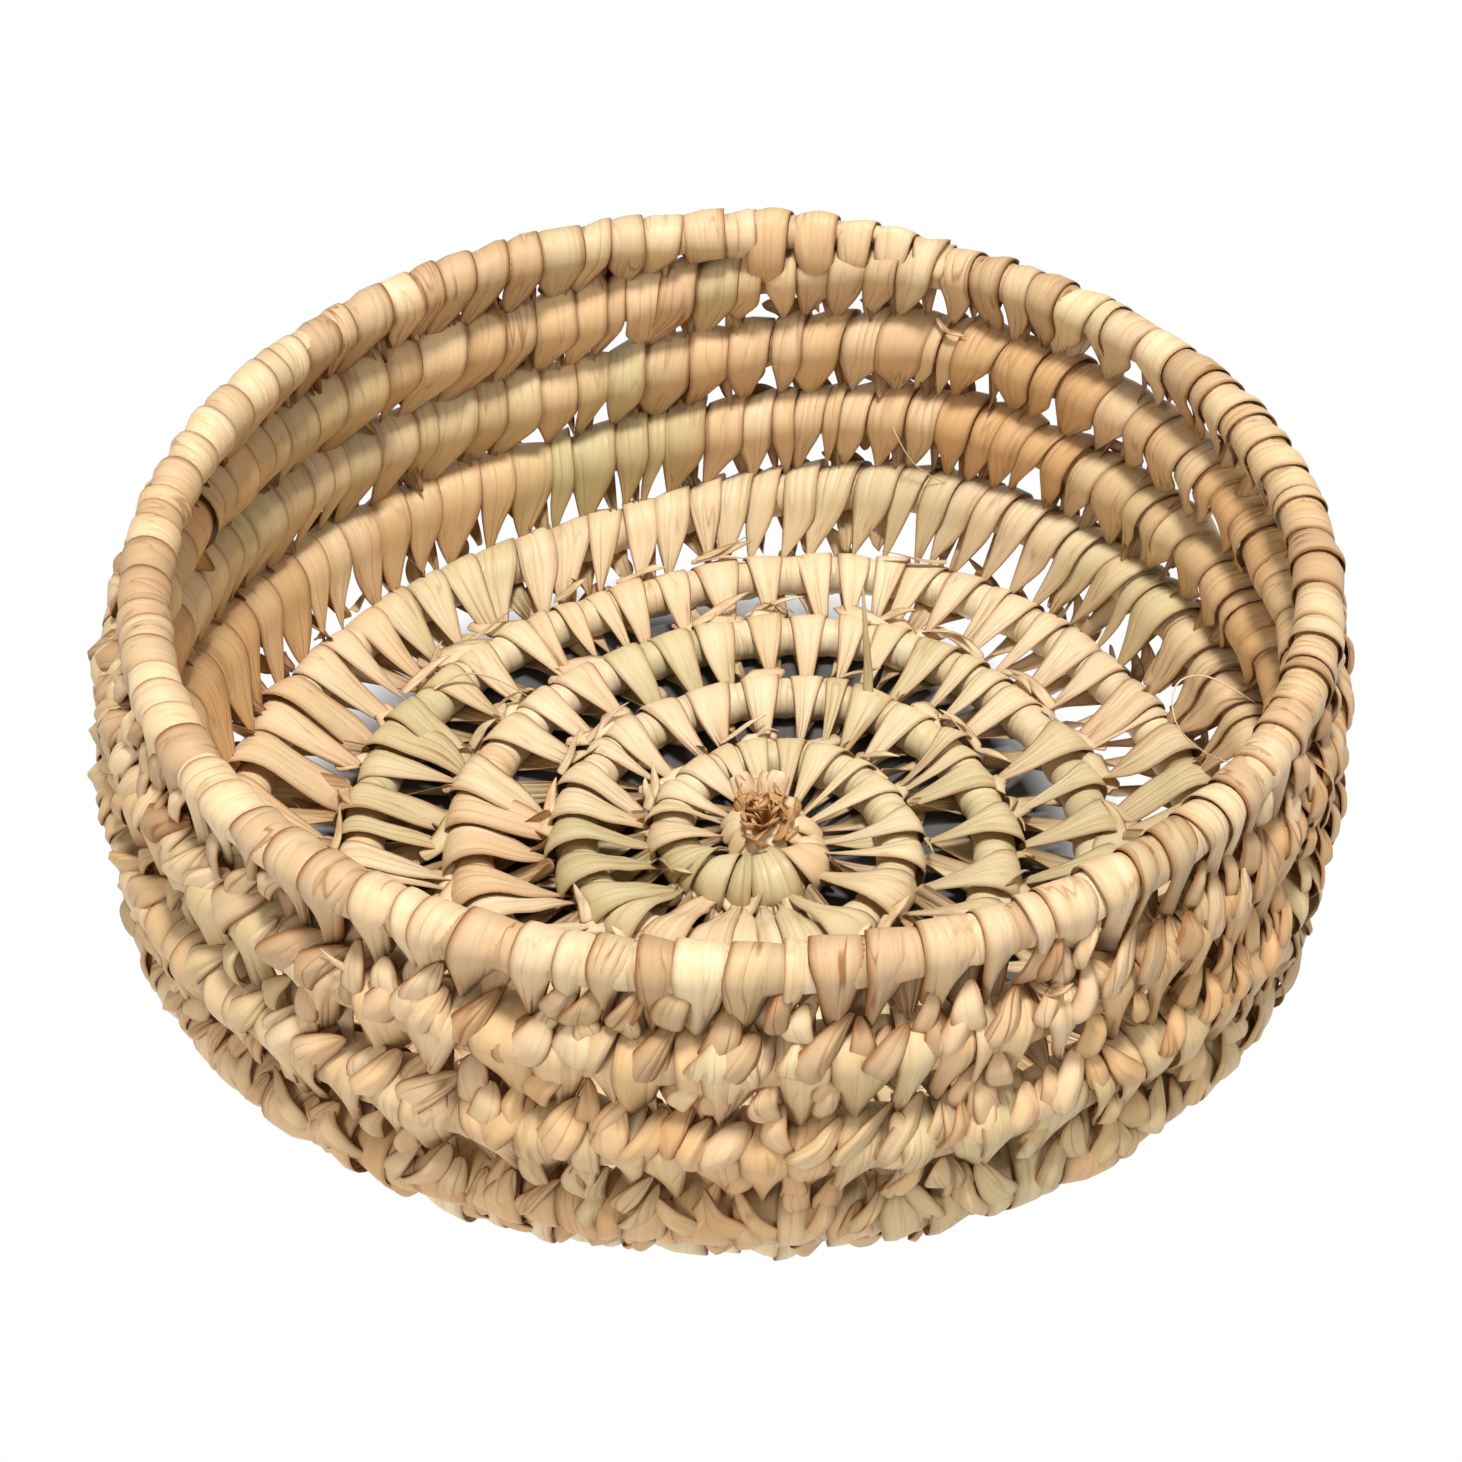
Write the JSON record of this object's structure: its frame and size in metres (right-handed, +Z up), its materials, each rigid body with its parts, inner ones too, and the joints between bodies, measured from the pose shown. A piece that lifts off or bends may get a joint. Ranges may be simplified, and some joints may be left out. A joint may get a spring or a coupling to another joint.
{
  "type": "palm leaf basket",
  "caption": "Round open basket of coiled palm leaf: a spiral foundation core bound with leaf strips that are stitched to the round before, with open gaps between the rounds.",
  "frame": {"origin": "middle of the outer box, at the level that the floor rests on", "axes": "+Z up out of the open mouth; +X to the right and +Y to the back as in the picture"},
  "size_m": [0.301, 0.2872, 0.1105],
  "materials": {
    "straw_leaf": "satin",
    "rose_leaf": "satin",
    "green_leaf": "satin",
    "core_midrib": "matt",
    "knot_leaf": "matt"
  },
  "bodies": {
    "root": {"foundation_core": "core_midrib", "start_knot": "knot_leaf", "floor_binding_01": "straw_leaf", "floor_binding_02": "rose_leaf", "floor_binding_03": "straw_leaf", "floor_binding_04": "green_leaf", "floor_binding_05": "rose_leaf", "floor_binding_06": "straw_leaf", "floor_binding_07": "rose_leaf", "floor_binding_08": "straw_leaf", "floor_binding_09": "green_leaf", "floor_binding_10": "rose_leaf", "floor_binding_11": "straw_leaf", "floor_binding_12": "rose_leaf", "floor_binding_13": "straw_leaf", "floor_binding_14": "green_leaf", "floor_binding_15": "rose_leaf", "floor_binding_16": "straw_leaf", "wall_binding_01": "rose_leaf", "wall_binding_02": "straw_leaf", "wall_binding_03": "green_leaf", "wall_binding_04": "rose_leaf", "wall_binding_05": "straw_leaf", "wall_binding_06": "rose_leaf", "wall_binding_07": "straw_leaf", "wall_binding_08": "green_leaf", "wall_binding_09": "rose_leaf", "wall_binding_10": "straw_leaf", "wall_binding_11": "rose_leaf", "wall_binding_12": "straw_leaf", "wall_binding_13": "green_leaf", "wall_binding_14": "rose_leaf", "wall_binding_15": "straw_leaf", "wall_binding_16": "rose_leaf", "wall_binding_17": "straw_leaf", "wall_binding_18": "green_leaf", "wall_binding_19": "rose_leaf", "wall_binding_20": "straw_leaf", "rim_binding_01": "rose_leaf", "rim_binding_02": "straw_leaf", "rim_binding_03": "green_leaf", "rim_binding_04": "rose_leaf", "rim_binding_05": "straw_leaf", "rim_binding_06": "rose_leaf"}
  },
  "joints": []
}
